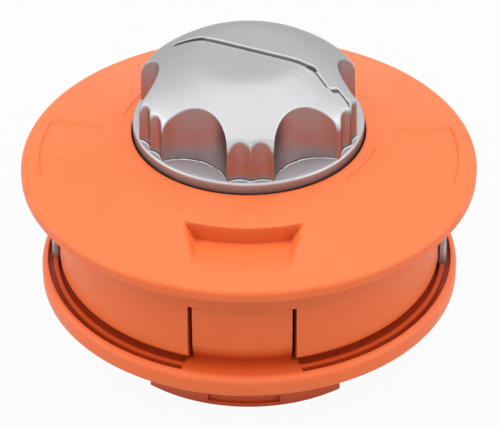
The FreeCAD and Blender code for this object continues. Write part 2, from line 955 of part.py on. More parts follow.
def make_knob():
    knob_foot = collar_level - s.collar_skirt
    collar_inner = knob_collar_radius - s.collar_skirt_wall
    stem_bore = screw_circle - s.screw_radius - s.screw_wall
    stem_radius = drum_inner - s.stem_gap
    blank = revolved(
        "knob_blank",
        [
            (stem_bore, deck_level),
            (stem_radius, deck_level),
            (stem_radius, collar_level - s.collar_plate),
            (collar_inner, collar_level - s.collar_plate),
            (collar_inner, knob_foot),
            (knob_collar_radius, knob_foot),
            (knob_collar_radius, collar_level),
            (knob_collar_radius - s.knob_lobe_foot_inset, collar_level),
            (lobe_radius, collar_level + s.knob_side_height, s.knob_shoulder_round, 1),
            (shoulder_radius, shoulder_level, s.knob_crown_round, 1),
            (s.knob_top_radius, knob_top),
            (0, knob_top),
            (0, knob_top - s.knob_plate),
            (stem_bore, knob_top - s.knob_plate),
        ],
    )
    scallop_centre = knob_collar_radius + s.scallop_radius - s.scallop_depth
    past_top = knob_top + PAST
    cuts = []
    for number in range(LOBE_COUNT):
        lobe = s.knob_turn_angle - 90 + number * 360 / LOBE_COUNT
        valley = lobe + 180 / LOBE_COUNT
        x, y = scallop_centre * cosine(valley), scallop_centre * sine(valley)
        cuts.append(cylinder(f"scallop{number}", s.scallop_radius, collar_level, past_top, x, y))
        reach = lobe_radius + s.flute_radius - s.flute_depth
        for side, offset in (("left", -s.flute_offset), ("right", s.flute_offset)):
            x = reach * cosine(lobe) - offset * sine(lobe)
            y = reach * sine(lobe) + offset * cosine(lobe)
            name = f"flute_{side}{number}"
            cuts.append(cylinder(name, s.flute_radius, collar_level, past_top, x, y))
    hole_top = deck_foot + s.screw_length + PAST
    holes = screw_bars("knob_hole", s.screw_radius + s.screw_gap, deck_level - PAST, hole_top)
    return cut("bump_knob", blank, *cuts, *holes, make_score())


def crown_at(radius):
    """The height of the knob's domed crown at a radius."""
    run, rise = shoulder_radius - s.knob_top_radius, knob_top - shoulder_level
    chord = root(run * run + rise * rise)
    middle_to_centre = root(s.knob_crown_round * s.knob_crown_round - chord * chord / 4)
    centre_radius = (shoulder_radius + s.knob_top_radius) / 2 - rise / chord * middle_to_centre
    centre_level = (shoulder_level + knob_top) / 2 - run / chord * middle_to_centre
    across = radius - centre_radius
    return centre_level + root(s.knob_crown_round * s.knob_crown_round - across * across)


def make_score():
    """The straight groove across the knob's top, from one lobe to the opposite one."""
    depth, reach = s.score_depth, s.score_half_length
    skin = revolved(
        "score_skin",
        [
            (0, knob_top - depth),
            (s.knob_top_radius, knob_top - depth),
            (reach, crown_at(reach) - depth),
            (reach, knob_top + PAST),
            (0, knob_top + PAST),
        ],
    )
    slab = bind(
        doc.addObject("Part::Box", "score_slab"),
        Length=reach * 2,
        Width=s.score_width,
        Height=s.knob_height,
    )
    along = s.knob_turn_angle - 90 + 360 / LOBE_COUNT
    x = -reach * cosine(along) + s.score_width / 2 * sine(along)
    y = -reach * sine(along) - s.score_width / 2 * cosine(along)
    place(slab, x, y, collar_level + PAST, (0, 0, -1), -along.value)
    slab.setExpression("Placement.Rotation.Angle", (-along).formula)
    return common("score", skin, slab)


def make_eyelets():
    """An eyelet with an outer and an inner flange, and its mirror image on the other side."""
    spare = s.eyelet_lip * 2
    near, far = eyelet_inside - s.eyelet_inner_flange, eyelet_face
    neck_height = eyelet_height - spare
    blank = fuse(
        "eyelet_blank",
        arch("eyelet_flange", s.eyelet_width, eyelet_height, eyelet_seat, far, eyelet_level),
        arch("eyelet_neck", eyelet_neck_width, neck_height, near, far - PAST, eyelet_level + spare / 2),
        arch("eyelet_back", s.eyelet_width, eyelet_height, near, eyelet_inside, eyelet_level),
    )
    bored = cut(
        "eyelet_bored",
        blank,
        lying_cylinder("eyelet_bore", s.eyelet_bore_radius, near - PAST, far + PAST, line_level),
    )
    right = doc.addObject("PartDesign::Body", "eyelet_right")
    right.BaseFeature = bored
    doc.recompute()
    base = right.Tip
    outside = [
        f"Edge{number}"
        for number, edge in enumerate(base.Shape.Edges, 1)
        if edge.BoundBox.XMin > far.value - 0.01
    ]
    edge_round = right.newObject("PartDesign::Fillet", "eyelet_edge_round")
    edge_round.Base = (base, outside)
    bind(edge_round, Radius=s.eyelet_round)
    right.Tip = edge_round
    left = doc.addObject("Part::Mirroring", "eyelet_left")
    left.Source = right
    left.Normal = FreeCAD.Vector(1, 0, 0)
    return [right, left]


def write_parts(parts):
    doc.recompute()
    failed = [thing.Name for thing in doc.Objects if {"Invalid", "Error"} & set(thing.State)]
    if failed:
        raise RuntimeError(f"these did not build: {failed}")
    for part in parts:
        if part.Shape.isNull() or not part.Shape.isValid():
            raise RuntimeError(f"{part.Label} has no valid shape")
    os.makedirs("parts", exist_ok=True)
    for part in parts:
        part.Shape.exportStep(f"parts/{part.Label}.step")
        print(part.Label, "solids", len(part.Shape.Solids), "volume", round(part.Shape.Volume))


write_parts(
    [
        make_cover(),
        make_housing(),
        make_nut(),
        make_spring(),
        make_washer(),
        make_spool(),
        make_screws(),
        make_knob(),
        *make_eyelets(),
    ]
)
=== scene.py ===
import bpy
import bmesh
import json
import math
import numpy as np
from mathutils import Matrix, Vector


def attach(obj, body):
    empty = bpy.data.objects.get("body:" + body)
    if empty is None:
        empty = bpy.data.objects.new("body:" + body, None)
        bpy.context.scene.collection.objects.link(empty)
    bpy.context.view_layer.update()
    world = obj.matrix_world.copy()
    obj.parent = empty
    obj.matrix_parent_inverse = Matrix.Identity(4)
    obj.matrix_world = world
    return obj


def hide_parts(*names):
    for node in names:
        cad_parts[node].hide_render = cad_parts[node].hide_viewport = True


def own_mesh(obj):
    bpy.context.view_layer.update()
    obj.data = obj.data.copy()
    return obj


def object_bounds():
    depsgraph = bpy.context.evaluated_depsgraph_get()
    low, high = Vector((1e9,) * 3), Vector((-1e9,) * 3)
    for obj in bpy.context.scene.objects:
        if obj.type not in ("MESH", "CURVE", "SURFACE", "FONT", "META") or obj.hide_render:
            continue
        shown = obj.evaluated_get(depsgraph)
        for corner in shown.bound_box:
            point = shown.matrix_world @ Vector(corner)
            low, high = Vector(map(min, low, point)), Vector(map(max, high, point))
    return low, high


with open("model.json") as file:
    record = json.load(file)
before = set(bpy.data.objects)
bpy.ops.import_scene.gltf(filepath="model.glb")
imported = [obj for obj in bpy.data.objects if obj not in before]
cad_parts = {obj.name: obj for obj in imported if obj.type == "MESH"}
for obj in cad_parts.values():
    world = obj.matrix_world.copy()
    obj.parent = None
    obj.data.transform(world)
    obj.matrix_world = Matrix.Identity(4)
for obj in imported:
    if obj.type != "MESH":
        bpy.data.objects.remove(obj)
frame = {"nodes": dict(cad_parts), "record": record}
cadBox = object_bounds()
nodes = frame["nodes"]
mm = 0.001  # lengths in the knob, spring and cover dictionaries are in millimetres, angles in degrees
print("frame loaded:", len(nodes), "nodes")


# a shader value that can be used in sums
class Wire:
    def __init__(self, paint, socket):
        self.paint = paint
        self.socket = socket

    def math(self, operation, first, second):
        return self.paint.node("ShaderNodeMath", {"operation": operation}, {0: first, 1: second})

    def __add__(self, other):
        return self.math("ADD", self, other)

    def __radd__(self, other):
        return self.math("ADD", other, self)

    def __sub__(self, other):
        return self.math("SUBTRACT", self, other)

    def __rsub__(self, other):
        return self.math("SUBTRACT", other, self)

    def __mul__(self, other):
        return self.math("MULTIPLY", self, other)

    def __rmul__(self, other):
        return self.math("MULTIPLY", other, self)


# one node tree, of a material or of the world
class Paint:
    def __init__(self, owner):
        owner.use_nodes = True
        self.owner = owner
        self.tree = owner.node_tree
        self.tree.nodes.clear()

    def node(self, kind, settings=None, inputs=None, output=0):
        made = self.tree.nodes.new(kind)
        for name, value in (settings or {}).items():
            setattr(made, name, value)
        for name, value in (inputs or {}).items():
            if isinstance(value, Wire):
                self.tree.links.new(value.socket, made.inputs[name])
            else:
                made.inputs[name].default_value = value
        return Wire(self, made.outputs[output]) if made.outputs else None

    def place(self):
        return self.node("ShaderNodeTexCoord", output="Object")

    def noise(self, size, detail, roughness, stretch=(1, 1, 1)):
        scaled = self.node(
            "ShaderNodeVectorMath",
            {"operation": "MULTIPLY"},
            {0: self.place(), 1: [factor / size for factor in stretch]},
        )
        inputs = {"Vector": scaled, "Scale": 1.0, "Detail": detail, "Roughness": roughness}
        return self.node("ShaderNodeTexNoise", {}, inputs, "Fac")

    def ease(self, value, low, high, start=0.0, end=1.0):
        inputs = {"Value": value, "From Min": low, "From Max": high, "To Min": start, "To Max": end}
        return self.node("ShaderNodeMapRange", {"interpolation_type": "SMOOTHSTEP"}, inputs)

    def blend(self, share, first, second):
        inputs = {"Factor": share, 6: first, 7: second}
        return self.node("ShaderNodeMix", {"data_type": "RGBA"}, inputs, 2)

    # 1 on open faces, less in corners and channels
    def openness(self, distance):
        return self.node("ShaderNodeAmbientOcclusion", {"samples": 8}, {"Distance": distance}, "AO")

    def bump(self, height, depth, normal=None):
        inputs = {"Height": height, "Distance": depth, "Strength": 1.0}
        if normal:
            inputs["Normal"] = normal
        return self.node("ShaderNodeBump", {}, inputs)

    def surface(self, **sockets):
        named = {name.replace("_", " "): value for name, value in sockets.items()}
        shader = self.node("ShaderNodeBsdfPrincipled", {}, named)
        self.node("ShaderNodeOutputMaterial", {}, {"Surface": shader})
        return self.owner

    def metal(self, colour, roughness, normal):
        flat = dict(Metallic=1.0, Specular_Tint=(0.7, 0.7, 0.7, 1))
        return self.surface(Base_Color=colour, Roughness=roughness, Normal=normal, **flat)


def newPaint(name):
    return Paint(bpy.data.materials.new(name))


nylonLook = dict(
    colour=(0.81, 0.153, 0.036, 1),
    shade=(0.77, 0.135, 0.03, 1),
    # painted shade: the darker colours that corners and channels take, by how closed in they are
    coverCornerShade=dict(colour=(0.55, 0.09, 0.018, 1), reach=3 * mm, closed=0.4, open=0.75),
    housingCornerShade=dict(colour=(0.5, 0.054, 0.009, 1), reach=10 * mm, closed=0.38, open=1.0),
    roughness=0.44,
    grain=0.35 * mm,
    grainDepth=0.008 * mm,
    sink=9 * mm,
    sinkDepth=0.02 * mm,
)


def orangeNylon(name, cornerShadeName):
    paint = newPaint(name)
    look = nylonLook
    corner = look[cornerShadeName]
    grain = paint.noise(look["grain"], 3.0, 0.6)
    cloud = paint.noise(look["sink"], 2.0, 0.5)
    plain = paint.blend(paint.ease(cloud, 0.35, 0.7, 0.0, 0.35), look["colour"], look["shade"])
    # painted shade on the trays' inner walls, read from the cover's shade layer
    shade = paint.node("ShaderNodeAttribute", {"attribute_name": "shade"}, output="Fac")
    # painted shade: the colour darkens in corners and channels, by the ambient occlusion
    share = paint.ease(paint.openness(corner["reach"]), corner["closed"], corner["open"])
    colour = paint.blend(share * (1 - shade), corner["colour"], plain)
    roughness = look["roughness"] + (grain - 0.5) * 0.12 + (cloud - 0.5) * 0.1
    soft = paint.bump(cloud, look["sinkDepth"])
    normal = paint.bump(grain, look["grainDepth"], soft)
    return paint.surface(Base_Color=colour, Roughness=roughness, Normal=normal, IOR=1.45)


aluminiumLook = dict(
    bright=(0.46, 0.46, 0.475, 1),
    # painted reflection: the dull colour of recesses and low parts is tinted red like the orange brim they
    # mirror
    dullWithBrimReflection=(0.33, 0.235, 0.225, 1),
    fresh=(0.56, 0.56, 0.59, 1),
    # the colour that the marks, the seam and the collar's foot darken towards
    darkening=(0.07, 0.068, 0.07, 1),
    rubbed=0.42,
    asCast=0.33,
    raw=0.25,
    grain=0.3 * mm,
    grainDepth=0.012 * mm,
    blotch=6 * mm,
    blotchDepth=0.05 * mm,
    streak=0.45 * mm,
)


def castAluminium():
    paint = newPaint("castAluminium")
    look = aluminiumLook
    grain = paint.noise(look["grain"], 4.0, 0.65)
    blotch = paint.noise(look["blotch"], 3.0, 0.55)
    streak = paint.noise(look["streak"], 2.0, 0.5, stretch=(1, 1, 0.02))
    relief = paint.node("ShaderNodeAttribute", {"attribute_name": "relief"}, output="Fac")
    darkening = paint.node("ShaderNodeAttribute", {"attribute_name": "darkening"}, output="Fac")
    # high outer points are rubbed bright; elsewhere the colour carries the painted reflection of the
    # orange brim
    share = paint.ease(relief + (blotch - 0.5) * 0.5 + (streak - 0.5) * (1 - relief) * 0.9, 0.1, 0.9)
    wearAndReflection = paint.blend(share, look["dullWithBrimReflection"], look["bright"])
    clean = paint.blend(paint.ease(relief, 1.0, 1.7), wearAndReflection, look["fresh"])
    # painted shade in the struck marks and along the casting seam, and the collar's side darker towards
    # the bottom
    colour = paint.blend(paint.ease(darkening + (grain - 0.5) * 0.4, 0.15, 0.7), clean, look["darkening"])
    rubbing = paint.ease(relief, 0.3, 0.9, look["asCast"], look["rubbed"])
    raw = paint.ease(relief, 1.0, 2.0, 0.0, look["raw"])
    roughness = rubbing + raw + (grain - 0.5) * 0.1 + (blotch - 0.5) * 0.14
    wave = paint.bump(blotch, look["blotchDepth"])
    normal = paint.bump(grain, look["grainDepth"], wave)
    return paint.metal(colour, roughness, normal)


eyeletLook = dict(
    # darker and warmer than bare aluminium: painted shade under the brim and painted reflection of the
    # orange cover
    dark=(0.38, 0.34, 0.322, 1),
    light=(0.48, 0.435, 0.415, 1),
    roughness=0.55,
    streak=0.5 * mm,
    streakStretch=(6, 1, 0.25),
    streakDepth=0.01 * mm,
    blotch=3 * mm,
)


def turnedAluminium():
    paint = newPaint("turnedAluminium")
    look = eyeletLook
    streak = paint.noise(look["streak"], 3.0, 0.6, look["streakStretch"])
    blotch = paint.noise(look["blotch"], 2.0, 0.5)
    colour = paint.blend(paint.ease(blotch, 0.3, 0.7), look["dark"], look["light"])
    roughness = look["roughness"] + (streak - 0.5) * 0.2 + (blotch - 0.5) * 0.1
    normal = paint.bump(streak, look["streakDepth"])
    return paint.metal(colour, roughness, normal)


steelLook = dict(
    dark=(0.42, 0.43, 0.45, 1),
    light=(0.60, 0.60, 0.58, 1),
    roughness=0.32,
    grain=0.3 * mm,
    grainDepth=0.01 * mm,
    blotch=4 * mm,
)


def zincSteel():
    paint = newPaint("zincSteel")
    look = steelLook
    grain = paint.noise(look["grain"], 3.0, 0.6)
    blotch = paint.noise(look["blotch"], 2.0, 0.5)
    colour = paint.blend(paint.ease(blotch, 0.3, 0.7), look["dark"], look["light"])
    roughness = look["roughness"] + (grain - 0.5) * 0.2 + (blotch - 0.5) * 0.15
    normal = paint.bump(grain, look["grainDepth"])
    return paint.metal(colour, roughness, normal)


spoolLook = dict(
    dark=(0.022, 0.022, 0.024, 1),
    light=(0.04, 0.04, 0.042, 1),
    roughness=0.46,
    grain=0.4 * mm,
    grainDepth=0.012 * mm,
    cloud=8 * mm,
)


def blackNylon():
    paint = newPaint("blackNylon")
    look = spoolLook
    grain = paint.noise(look["grain"], 3.0, 0.6)
    cloud = paint.noise(look["cloud"], 2.0, 0.5)
    colour = paint.blend(paint.ease(cloud, 0.3, 0.7), look["dark"], look["light"])
    roughness = look["roughness"] + (grain - 0.5) * 0.15
    normal = paint.bump(grain, look["grainDepth"])
    return paint.surface(Base_Color=colour, Roughness=roughness, Normal=normal)


looks = {
    "orange_nylon": orangeNylon("orangeNylon", "housingCornerShade"),
    "cast_aluminium": castAluminium(),
    "eyelet_aluminium": turnedAluminium(),
    "steel": zincSteel(),
    "spool_nylon": blackNylon(),
}
coverNylon = orangeNylon("coverNylon", "coverCornerShade")
slotOf = {part["node"]: part["material_slot"] for part in frame["record"]["subparts"]}
print("materials made:", len(looks) + 1)


# CAD pieces keep their shape and get slightly rounded edges
edgeLook = dict(
    width=dict(drive_housing=0.3 * mm, eyelet_left=0.15 * mm, eyelet_right=0.15 * mm),
    segments=2,
    flatAngle=0.4,
    sharpAngle=32,
    weld=0.001 * mm,
)


def cleanNormals():
    group = bpy.data.node_groups.new("cleanNormals", "GeometryNodeTree")
    group.interface.new_socket("Geometry", in_out="INPUT", socket_type="NodeSocketGeometry")
    group.interface.new_socket("Geometry", in_out="OUTPUT", socket_type="NodeSocketGeometry")
    start = group.nodes.new("NodeGroupInput")
    strip = group.nodes.new("GeometryNodeRemoveAttribute")
    strip.inputs["Name"].default_value = "custom_normal"
    weld = group.nodes.new("GeometryNodeMergeByDistance")
    weld.inputs["Distance"].default_value = edgeLook["weld"]
    smooth = group.nodes.new("GeometryNodeSetShadeSmooth")
    end = group.nodes.new("NodeGroupOutput")
    chain = [start, strip, weld, smooth, end]
    for before, after in zip(chain, chain[1:]):
        group.links.new(before.outputs[0], after.inputs[0])
    return group


cleaner = cleanNormals()


def roundEdges(piece, width):
    piece.modifiers.new("clean", "NODES").node_group = cleaner
    flat = piece.modifiers.new("flat", "DECIMATE")
    flat.decimate_type = "DISSOLVE"
    flat.angle_limit = math.radians(edgeLook["flatAngle"])
    bevel = piece.modifiers.new("edges", "BEVEL")
    bevel.width = width
    bevel.segments = edgeLook["segments"]
    bevel.limit_method = "ANGLE"
    bevel.angle_limit = math.radians(edgeLook["sharpAngle"])
    bevel.use_clamp_overlap = True
    bevel.harden_normals = True


for name, piece in nodes.items():
    piece.data.materials.clear()
    piece.data.materials.append(looks[slotOf[name]])
    if name in edgeLook["width"]:
        roundEdges(piece, edgeLook["width"][name])
print("CAD pieces painted")


# the cast knob: rings of a turned profile, cut into by scallops and flutes
knob = dict(
    turn=3.0,
    lobes=6,
    columns=660,
    collarRadius=31.5,
    collarLevel=65.6,
    collarDepth=13.6,
    footRadius=31.2,
    lobeRadius=31.0,
    sideHeight=7.9,
    shoulderRadius=29.1,
    shoulderHeight=12.5,
    shoulderRound=6.25,
    crownRound=40.0,
    topRadius=15.5,
    topHeight=20.8,
    scallopRadius=12.0,
    scallopFoot=24.4,
    scallopDraft=1.5,
    fluteRadius=4.4,
    fluteFoot=29.4,
    fluteOffset=3.0,
    seamLobe=1,
    seamShift=1.5,
    soft=0.5,
    fluteSoft=0.6,
    crownBlend=4.0,
    crownFade=9.0,
    crownSteps=((0.1, 4.4, 0.15), (4.5, 14.0, 0.6)),  # from, to and step of the rings
    slopeStart=14.0,
    slopeStep=0.32,
    sideBlend=1.5,
    burr=0.08,
    burrPlace=1.45,
    burrWidth=0.4,
    burrDepth=0.5,
    seamAngle=-24.2,
    seamHalf=0.42,
    seamDepth=0.35,
    seamShade=0.6,
    seamColumns=(-2.0, 1.2, 33),
    flashHeight=0.32,
    flashWidth=0.5,
    flashShine=1.2,
    floorShine=1.7,
    rubFall=0.7,
    rubFoot=8.0,
    rubRise=2.0,
    leastShine=0.05,
    collarEdge=0.5,
    collarShine=1.1,
    collarDarkening=0.46,
    darkeningDepth=1.2,
    wall=3.0,
    hubRadius=20.6,
    hubDepth=30.5,
)

# marks struck into the knob's crown: the ends of each in plan, half its width, its depth and how far its
# colour is darkened, a painted shade in the mark
strokes = [
    dict(start=(-13.0, 7.5), end=(17.1, -5.3), half=1.0, depth=0.34, darkShare=0.57),
    dict(start=(-19.6, 8.5), end=(-13.0, 7.5), half=1.25, depth=0.4, darkShare=0.75),
    dict(start=(16.6, -5.1), end=(17.4, -5.4), half=1.2, depth=0.4, darkShare=0.7),
    dict(start=(17.1, -5.3), end=(20.9, -9.9), half=0.55, depth=0.25, darkShare=0.5),
    dict(start=(22.6, -10.3), end=(24.0, -9.2), half=0.65, depth=0.35, darkShare=0.62),
    dict(start=(24.0, -9.2), end=(26.5, -10.9), half=0.5, depth=0.3, darkShare=0.6),
    dict(start=(26.5, -10.9), end=(28.4, -12.8), half=0.5, depth=0.3, darkShare=0.6),
    dict(start=(7.0, -6.0), end=(15.0, -10.6), half=0.3, depth=0.05, darkShare=0.16),
    dict(start=(-16.6, -8.2), end=(-14.9, -11.6), half=0.25, depth=0.06, darkShare=0.2),
]


# the short arc between two (radius, height) points, bulging outwards
def arcPoints(start, end, radius, count):
    start, end = np.array(start), np.array(end)
    run = end - start
    half = np.hypot(*run) / 2
    side = np.array([run[1], -run[0]]) / (2 * half)
    centre = (start + end) / 2 + side * math.sqrt(radius**2 - half**2)
    angles = [math.atan2(*(point - centre)[::-1]) for point in (start, end)]
    return [centre + radius * np.array([math.cos(a), math.sin(a)]) for a in np.linspace(*angles, count)]


# an arc about a (radius, height) point, between two angles
def roundPoints(radius, height, size, start, end, count):
    turns = np.radians(np.linspace(start, end, count))
    return [(radius + size * math.cos(turn), height + size * math.sin(turn)) for turn in turns]


def linePoints(start, end, count):
    return list(np.linspace(start, end, count))


# the smaller of two heights or radii, with a rounded corner where they cross
def softMin(first, second, width):
    mix = np.clip(0.5 + 0.5 * (second - first) / width, 0, 1)
    return second * (1 - mix) + first * mix - width * mix * (1 - mix)


def softMax(first, second, width):
    return -softMin(-first, -second, width)


# how far out a ray from the axis can go before it meets a round cut
def cutDistance(angles, centreAngle, centreDistance, radius):
    clear = 99.0  # further out than any part of the knob
    away = angles - centreAngle
    across = centreDistance * np.sin(away)
    inside = (np.abs(across) < radius) & (np.cos(away) > 0)
    depth = np.sqrt(np.maximum(radius**2 - across**2, 0))
    return np.where(inside, centreDistance * np.cos(away) - depth, clear)


# the knob's outline at a height: the turned radius, less six scallops and six pairs of flutes
def knobSection(angles, reach, height):
    k = knob
    section = np.full_like(angles, reach)
    step = 2 * math.pi / k["lobes"]
    lean = height * math.tan(math.radians(k["scallopDraft"]))
    scallopCentre = k["scallopFoot"] - lean + k["scallopRadius"]
    fluteCentre = k["fluteFoot"] + k["fluteRadius"]
    for lobe in range(k["lobes"]):
        middle = math.radians(k["turn"] - 90) + lobe * step
        scallop = cutDistance(angles, middle + step / 2, scallopCentre, k["scallopRadius"])
        section = softMin(section, scallop, k["soft"])
        for side in (-1, 1):
            offset = side * k["fluteOffset"] + (k["seamShift"] if lobe == k["seamLobe"] else 0)
            away = math.atan2(offset, fluteCentre)
            far = math.hypot(fluteCentre, offset)
            flute = cutDistance(angles, middle + away, far, k["fluteRadius"])
            section = softMin(section, flute, k["fluteSoft"])
    return section


# columns spread evenly along the cut outline, so that steep walls get enough of them
def knobColumns():
    fine = np.linspace(0, 2 * math.pi, 20001)
    outline = knobSection(fine, knob["lobeRadius"], knob["sideHeight"] / 2)
    x, y = outline * np.cos(fine), outline * np.sin(fine)
    length = np.concatenate([[0], np.cumsum(np.hypot(np.diff(x), np.diff(y)))])
    even = np.interp(np.linspace(0, length[-1], knob["columns"], endpoint=False), length, fine)
    seam = math.radians(knob["seamAngle"]) + np.linspace(*knob["seamColumns"]) / knob["lobeRadius"]
    return np.unique(np.round(np.concatenate([even, seam % (2 * math.pi)]), 5))


# a skin over rings of points: a closed loop of rings, or a stack with its ends capped
def ringMesh(name, rings, loop=False, sharp=40):
    count, columns = len(rings), len(rings[0])
    faces = []
    for ring in range(count if loop else count - 1):
        low, high = ring * columns, (ring + 1) % count * columns
        for column in range(columns):
            beside = (column + 1) % columns
            faces.append((low + column, high + column, high + beside, low + beside))
    if not loop:
        faces.append(tuple(range(columns)))
        faces.append(tuple(reversed(range((count - 1) * columns, count * columns))))
    mesh = bpy.data.meshes.new(name)
    mesh.from_pydata(np.concatenate(rings) * mm, [], faces)
    mesh.shade_smooth()
    mesh.set_sharp_from_angle(angle=math.radians(sharp))
    piece = bpy.data.objects.new(name, mesh)
    bpy.context.scene.collection.objects.link(piece)
    return piece


# a number at each point of a ring mesh, which its material can read
def addLayer(piece, name, values):
    layer = piece.data.attributes.new(name, "FLOAT", "POINT")
    layer.data.foreach_set("value", np.concatenate(values).astype(np.float32))


# joins points that fall together and drops the faces that this closes up
def tidyMesh(mesh):
    shape = bmesh.new()
    shape.from_mesh(mesh)
    bmesh.ops.remove_doubles(shape, verts=shape.verts, dist=0.002 * mm)
    bmesh.ops.dissolve_degenerate(shape, edges=shape.edges, dist=0.001 * mm)
    shape.to_mesh(mesh)
    shape.free()


# the turned outline of the knob, with the edge of its flat top eased over
def knobProfile():
    k = knob
    top, shoulder = (k["topRadius"], k["topHeight"]), (k["shoulderRadius"], k["shoulderHeight"])
    crown = arcPoints(top, shoulder, k["crownRound"], 60)
    reach, height = np.array([(0.0, k["topHeight"])] + crown).T
    steps = [*k["crownSteps"], (k["slopeStart"], k["shoulderRadius"], k["slopeStep"])]
    fine = np.concatenate([np.arange(*step) for step in steps])
    shifts = np.linspace(-2, 2, 41)
    weights = np.exp(-shifts**2)
    blend = k["crownBlend"] * np.clip((k["shoulderRadius"] - fine) / k["crownFade"], 0, 1)
    around = [np.interp(np.abs(fine + shift * blend), reach, height) for shift in shifts]
    profile = list(zip(fine, np.average(around, axis=0, weights=weights)))
    profile += arcPoints(shoulder, (k["lobeRadius"], k["sideHeight"]), k["shoulderRound"], 18)
    return profile + linePoints((k["lobeRadius"], k["sideHeight"]), (k["footRadius"], 0.0), 9)[1:]


# a slow ragged wobble round the axis, the same on every run
def wobble(angles, count=9):
    return sum(np.sin(angles * (11 + 17 * n) + 1.7 * n * n) / (1 + 0.25 * n) for n in range(count)) / count


# how deep the strokes are at points of the plan, and how far their painted shade darkens the colour
def strokeMarks(x, y):
    depth, darkShare = np.zeros_like(x), np.zeros_like(x)
    for stroke in strokes:
        start, run = np.array(stroke["start"]), np.subtract(stroke["end"], stroke["start"])
        along = np.clip(((x - start[0]) * run[0] + (y - start[1]) * run[1]) / (run @ run), 0, 1)
        away = np.hypot(x - start[0] - along * run[0], y - start[1] - along * run[1]) / stroke["half"]
        share = np.clip(1 - away**6, 0, 1)
        burr = np.exp(-(((away - knob["burrPlace"]) / knob["burrWidth"]) ** 2))
        burr = burr * knob["burr"] * min(stroke["depth"] / knob["burrDepth"], 1)
        depth = np.where(share * stroke["depth"] > np.abs(depth), share * stroke["depth"], depth)
        depth = np.where(depth <= 0, np.minimum(depth, -burr), depth)
        darkShare = np.maximum(darkShare, share * stroke["darkShare"])
    return depth, darkShare


def makeKnob():
    k = knob
    angles = knobColumns()
    collar = k["collarLevel"]
    rings, relief, darkening = [], [], []

    def addRing(radius, height, shine, darkShare=0.0):
        radius, height = np.broadcast_to(radius, angles.shape), np.broadcast_to(height, angles.shape)
        rings.append(np.stack([radius * np.cos(angles), radius * np.sin(angles), collar + height], 1))
        relief.append(np.broadcast_to(shine, angles.shape))
        darkening.append(np.broadcast_to(darkShare, angles.shape))

    fromSeam = angles - math.radians(k["seamAngle"])
    across = k["lobeRadius"] * np.sin(fromSeam) / k["seamHalf"]
    seam = np.clip(1 - across**2, 0, 1) * (np.cos(fromSeam) > 0)
    for reach, height in knobProfile():
        radius = knobSection(angles, reach, height)
        depth, darkShare = strokeMarks(radius * np.cos(angles), radius * np.sin(angles))
        # relief: 1 on rubbed high outer faces, less in recesses and low down, where the colour takes the
        # painted reflection of the orange brim
        onSide = np.clip((reach - k["shoulderRadius"]) / k["sideBlend"], 0, 1)
        outside = np.clip(1 - (reach - radius) / k["rubFall"], 0, 1)
        shine = np.minimum(outside, np.clip((height - k["rubFoot"]) / k["rubRise"], k["leastShine"], 1))
        # painted shade in the struck marks on the crown and along the casting seam on the side
        darkShare = np.maximum(darkShare * (1 - onSide), seam * onSide * k["seamShade"])
        addRing(radius - seam * onSide * k["seamDepth"], height - depth * (1 - onSide), shine, darkShare)
    cut = knobSection(angles, k["footRadius"], 0.0)
    edge = k["collarRadius"] - k["collarEdge"]
    # ragged casting flash along the foot of the walls, then the flat floor beside it
    ragged = k["flashHeight"] * (0.65 + 0.9 * wobble(angles))
    for away, rise in ((0.06, 0.5), (0.2, 1.0), (0.36, 0.8), (k["flashWidth"], 0.15)):
        addRing(np.minimum(cut + away, edge - 0.1 + away * 0.1), ragged * rise, k["flashShine"])
    for share in (0.3, 0.55, 0.8, 1.0):
        least = np.minimum(cut + k["flashWidth"] + 0.02 * share, edge)
        addRing(np.maximum(cut + (edge - cut) * share, least), 0.0, k["floorShine"])
    # the collar's rounded edge and side, its hollow underside and the hub
    lower = [(edge + 0.25, -0.07), (edge + 0.43, -0.25)]
    sideHeights = (-k["collarEdge"], -0.9, -2.4, -4.0, -k["collarDepth"])
    lower += [(k["collarRadius"], height) for height in sideHeights]
    inner, roof, hub = k["collarRadius"] - k["wall"], -k["wall"], k["hubRadius"]
    lower += [(inner, -k["collarDepth"]), (inner, roof), (hub, roof), (hub, -k["hubDepth"])]
    # the collar's side gets darker towards the bottom
    for reach, height in lower:
        addRing(reach, height, k["collarShine"], np.clip(-height / k["darkeningDepth"], 0, 1) * k["collarDarkening"])
    piece = ringMesh("knobCasting", rings)
    addLayer(piece, "relief", relief)
    addLayer(piece, "darkening", darkening)
    piece.data.materials.append(looks["cast_aluminium"])
    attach(piece, "winder")
    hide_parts("bump_knob")


makeKnob()
print("knob cast")


# the hidden spring, which in the real head shortens as the knob is bumped in; here it is made at its rest
# length
coil = dict(
    foot=13.0,
    top=23.6,
    radius=7.615,
    wire=0.7,
    turns=3.25,
    steps=170,
    sides=12,
    travel=4.05,
)


def makeSpring():
    c = coil
    section = np.linspace(0, 2 * math.pi, c["sides"], endpoint=False)
    turns = np.linspace(0, c["turns"] * 2 * math.pi, c["steps"])
    heights = np.linspace(c["foot"] + c["wire"], c["top"] - c["wire"], c["steps"])
    reach = c["radius"] + c["wire"] * np.cos(section)
    rise = c["wire"] * np.sin(section)
    rings = []
    for turn, height in zip(turns, heights):
        rings.append(np.stack([reach * math.cos(turn), reach * math.sin(turn), height + rise], 1))
    piece = ringMesh("springCoil", rings)
    piece.data.materials.append(looks["steel"])
    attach(piece, "casing")
    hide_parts("spring")
    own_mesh(piece)


makeSpring()
print("spring wound")


